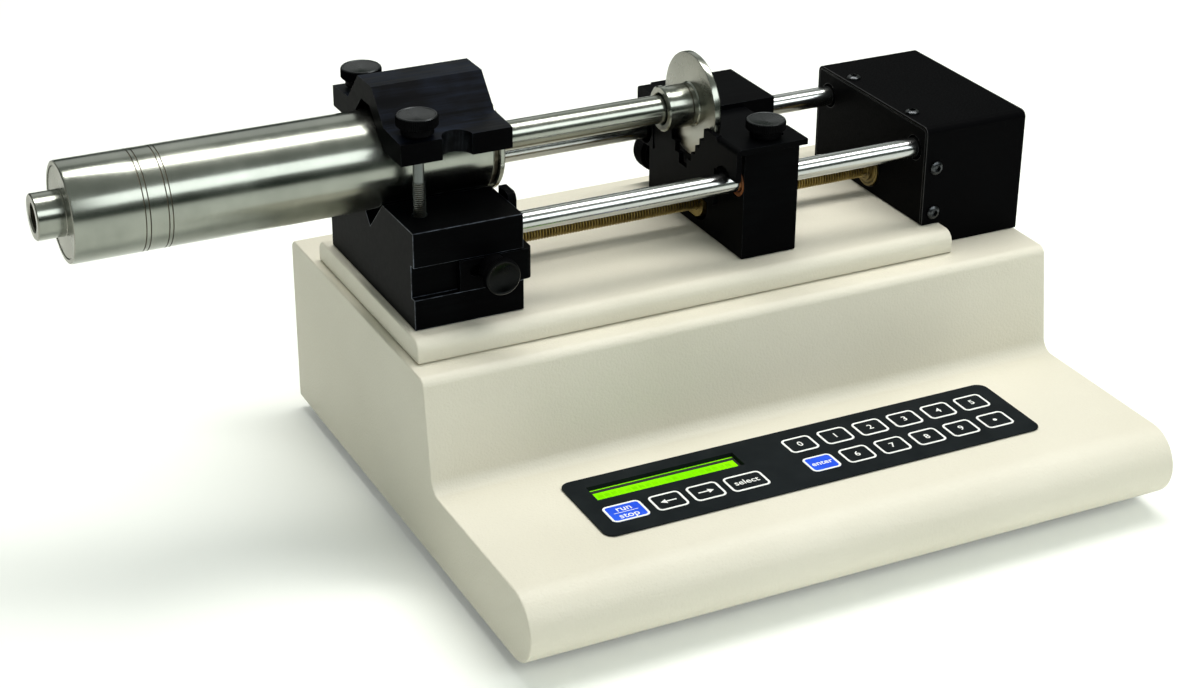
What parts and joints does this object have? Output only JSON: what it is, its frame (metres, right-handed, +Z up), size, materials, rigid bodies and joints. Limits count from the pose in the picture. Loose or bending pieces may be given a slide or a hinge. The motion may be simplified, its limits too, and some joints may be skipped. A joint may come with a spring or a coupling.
{
  "type": "syringe pump",
  "caption": "Bench syringe pump: a motor-driven lead screw slides a pusher block along guide rods to empty a clamped stainless steel syringe, set from a keypad.",
  "frame": {"origin": "centre of the bounding box in plan, level with the soles of the feet", "axes": "+X along the syringe from nozzle to motor, +Y from the keypad to the back, +Z up"},
  "size_m": [0.402, 0.2402, 0.1737],
  "materials": {
    "cream_paint": "fine textured powder coat",
    "black_anodised": "satin black anodised",
    "black_paint": "black textured paint",
    "black_plastic": "satin",
    "stainless": "turned and brushed",
    "chrome_rod": "polished",
    "zinc_steel": "zinc plated",
    "screw_brass": "dark, fine thread",
    "nut_brass": "machined",
    "bush_bronze": "sintered bronze",
    "foot_rubber": "matt",
    "keypad_film": "fine matt film",
    "key_blue": "fine matt film",
    "display_green": "lit yellow-green behind clear film",
    "circuit_board": "printed circuit board"
  },
  "bodies": {
    "pump": {"housing_shell": "cream_paint", "base_plate": "zinc_steel", "foot_front_left": "foot_rubber", "foot_rear_left": "foot_rubber", "foot_front_right": "foot_rubber", "foot_rear_right": "foot_rubber", "deck_plate": "cream_paint", "power_inlet": "black_plastic", "switch_frame": "black_plastic", "data_socket": "black_plastic", "keypad_overlay": "keypad_film", "switch_board": "circuit_board", "display_module": "display_green", "control_board": "circuit_board", "holder_block": "black_anodised", "syringe_barrel": "stainless", "syringe_front_cap": "stainless", "syringe_end_cap": "stainless", "guide_rod_front": "chrome_rod", "guide_rod_rear": "chrome_rod", "motor_cover": "black_paint", "motor_end_plate": "black_paint", "screw_bearing": "nut_brass", "stepper_motor": "zinc_steel"},
    "carriage": {"pusher_block": "black_anodised", "bush_front": "bush_bronze", "bush_rear": "bush_bronze", "piston": "stainless", "plunger_rod": "stainless", "plunger_flange": "stainless"},
    "screw": {"lead_screw": "screw_brass", "screw_gear": "nut_brass"},
    "pinion": {"motor_pinion": "zinc_steel"},
    "release": {"release_button": "black_plastic", "half_nut": "nut_brass"},
    "plunger_plate": {"plunger_retainer": "black_anodised"},
    "plunger_plate_knob": {"plunger_retainer_knob": "black_plastic"},
    "barrel_plate": {"barrel_retainer": "black_anodised"},
    "barrel_plate_knob": {"barrel_retainer_knob": "black_plastic"},
    "clamp_bar": {"clamp": "black_anodised"},
    "thumb_screw_front": {"clamp_screw_front": "black_plastic"},
    "thumb_screw_rear": {"clamp_screw_rear": "black_plastic"},
    "rocker": {"switch_rocker": "black_plastic"},
    "key_run_cap": {"key_run": "key_blue"},
    "key_left_cap": {"key_left": "keypad_film"},
    "key_right_cap": {"key_right": "keypad_film"},
    "key_select_cap": {"key_select": "keypad_film"},
    "key_0_cap": {"key_0": "keypad_film"},
    "key_1_cap": {"key_1": "keypad_film"},
    "key_2_cap": {"key_2": "keypad_film"},
    "key_3_cap": {"key_3": "keypad_film"},
    "key_4_cap": {"key_4": "keypad_film"},
    "key_5_cap": {"key_5": "keypad_film"},
    "key_enter_cap": {"key_enter": "key_blue"},
    "key_6_cap": {"key_6": "keypad_film"},
    "key_7_cap": {"key_7": "keypad_film"},
    "key_8_cap": {"key_8": "keypad_film"},
    "key_9_cap": {"key_9": "keypad_film"},
    "key_point_cap": {"key_point": "keypad_film"}
  },
  "joints": [
    {"name": "carriage_slide", "type": "slide", "parent": "pump", "child": "carriage", "axis": [1, 0, 0], "range_m": [-0.076, 0.04]},
    {"name": "lead_screw_spin", "type": "hinge", "parent": "pump", "child": "screw", "pos_m": [0.0609, 0.03842, 0.0998], "axis": [1, 0, 0], "continuous": true},
    {"name": "motor_pinion_spin", "type": "hinge", "parent": "pump", "child": "pinion", "pos_m": [0.1669, 0.01251, 0.10772], "axis": [1, 0, 0], "continuous": true},
    {"name": "release_press", "type": "slide", "parent": "carriage", "child": "release", "axis": [0, -1, 0], "range_m": [0, 0.0035], "stiffness_N_per_m": 600, "springref_m": -0.004},
    {"name": "plunger_retainer_slide", "type": "slide", "parent": "carriage", "child": "plunger_plate", "axis": [1, 0, 0], "range_m": [-0.005, 0]},
    {"name": "plunger_retainer_knob_turn", "type": "hinge", "parent": "carriage", "child": "plunger_plate_knob", "pos_m": [0.0813, 0.00427, 0.138], "axis": [0, 0, 1], "continuous": true},
    {"name": "barrel_retainer_slide", "type": "slide", "parent": "pump", "child": "barrel_plate", "axis": [1, 0, 0], "range_m": [0, 0.006]},
    {"name": "barrel_retainer_knob_turn", "type": "hinge", "parent": "pump", "child": "barrel_plate_knob", "pos_m": [-0.0416, -0.01093, 0.1096], "axis": [0, 1, 0], "continuous": true},
    {"name": "clamp_lift", "type": "slide", "parent": "pump", "child": "clamp_bar", "axis": [0, 0, 1], "range_m": [0, 0.012]},
    {"name": "clamp_screw_front_turn", "type": "hinge", "parent": "clamp_bar", "child": "thumb_screw_front", "pos_m": [-0.0636, 0.01012, 0.146], "axis": [0, 0, 1], "continuous": true},
    {"name": "clamp_screw_rear_turn", "type": "hinge", "parent": "clamp_bar", "child": "thumb_screw_rear", "pos_m": [-0.0636, 0.06672, 0.146], "axis": [0, 0, 1], "continuous": true},
    {"name": "power_switch_rock", "type": "hinge", "parent": "pump", "child": "rocker", "pos_m": [0.1209, 0.11357, 0.04], "axis": [1, 0, 0], "range_deg": [-18, 0]},
    {"name": "key_run_press", "type": "slide", "parent": "pump", "child": "key_run_cap", "axis": [0, 0, -1], "range_m": [0, 0.0004], "stiffness_N_per_m": 600, "springref_m": -0.001},
    {"name": "key_left_press", "type": "slide", "parent": "pump", "child": "key_left_cap", "axis": [0, 0, -1], "range_m": [0, 0.0004], "stiffness_N_per_m": 600, "springref_m": -0.001},
    {"name": "key_right_press", "type": "slide", "parent": "pump", "child": "key_right_cap", "axis": [0, 0, -1], "range_m": [0, 0.0004], "stiffness_N_per_m": 600, "springref_m": -0.001},
    {"name": "key_select_press", "type": "slide", "parent": "pump", "child": "key_select_cap", "axis": [0, 0, -1], "range_m": [0, 0.0004], "stiffness_N_per_m": 600, "springref_m": -0.001},
    {"name": "key_0_press", "type": "slide", "parent": "pump", "child": "key_0_cap", "axis": [0, 0, -1], "range_m": [0, 0.0004], "stiffness_N_per_m": 600, "springref_m": -0.001},
    {"name": "key_1_press", "type": "slide", "parent": "pump", "child": "key_1_cap", "axis": [0, 0, -1], "range_m": [0, 0.0004], "stiffness_N_per_m": 600, "springref_m": -0.001},
    {"name": "key_2_press", "type": "slide", "parent": "pump", "child": "key_2_cap", "axis": [0, 0, -1], "range_m": [0, 0.0004], "stiffness_N_per_m": 600, "springref_m": -0.001},
    {"name": "key_3_press", "type": "slide", "parent": "pump", "child": "key_3_cap", "axis": [0, 0, -1], "range_m": [0, 0.0004], "stiffness_N_per_m": 600, "springref_m": -0.001},
    {"name": "key_4_press", "type": "slide", "parent": "pump", "child": "key_4_cap", "axis": [0, 0, -1], "range_m": [0, 0.0004], "stiffness_N_per_m": 600, "springref_m": -0.001},
    {"name": "key_5_press", "type": "slide", "parent": "pump", "child": "key_5_cap", "axis": [0, 0, -1], "range_m": [0, 0.0004], "stiffness_N_per_m": 600, "springref_m": -0.001},
    {"name": "key_enter_press", "type": "slide", "parent": "pump", "child": "key_enter_cap", "axis": [0, 0, -1], "range_m": [0, 0.0004], "stiffness_N_per_m": 600, "springref_m": -0.001},
    {"name": "key_6_press", "type": "slide", "parent": "pump", "child": "key_6_cap", "axis": [0, 0, -1], "range_m": [0, 0.0004], "stiffness_N_per_m": 600, "springref_m": -0.001},
    {"name": "key_7_press", "type": "slide", "parent": "pump", "child": "key_7_cap", "axis": [0, 0, -1], "range_m": [0, 0.0004], "stiffness_N_per_m": 600, "springref_m": -0.001},
    {"name": "key_8_press", "type": "slide", "parent": "pump", "child": "key_8_cap", "axis": [0, 0, -1], "range_m": [0, 0.0004], "stiffness_N_per_m": 600, "springref_m": -0.001},
    {"name": "key_9_press", "type": "slide", "parent": "pump", "child": "key_9_cap", "axis": [0, 0, -1], "range_m": [0, 0.0004], "stiffness_N_per_m": 600, "springref_m": -0.001},
    {"name": "key_point_press", "type": "slide", "parent": "pump", "child": "key_point_cap", "axis": [0, 0, -1], "range_m": [0, 0.0004], "stiffness_N_per_m": 600, "springref_m": -0.001}
  ],
  "couplings": [
    {"joint": "lead_screw_spin", "follows": "carriage_slide", "rad_per_m": -4947.4},
    {"joint": "motor_pinion_spin", "follows": "carriage_slide", "rad_per_m": 9894.8},
    {"joint": "clamp_screw_front_turn", "follows": "clamp_lift", "rad_per_m": 7854},
    {"joint": "clamp_screw_rear_turn", "follows": "clamp_lift", "rad_per_m": 7854}
  ]
}
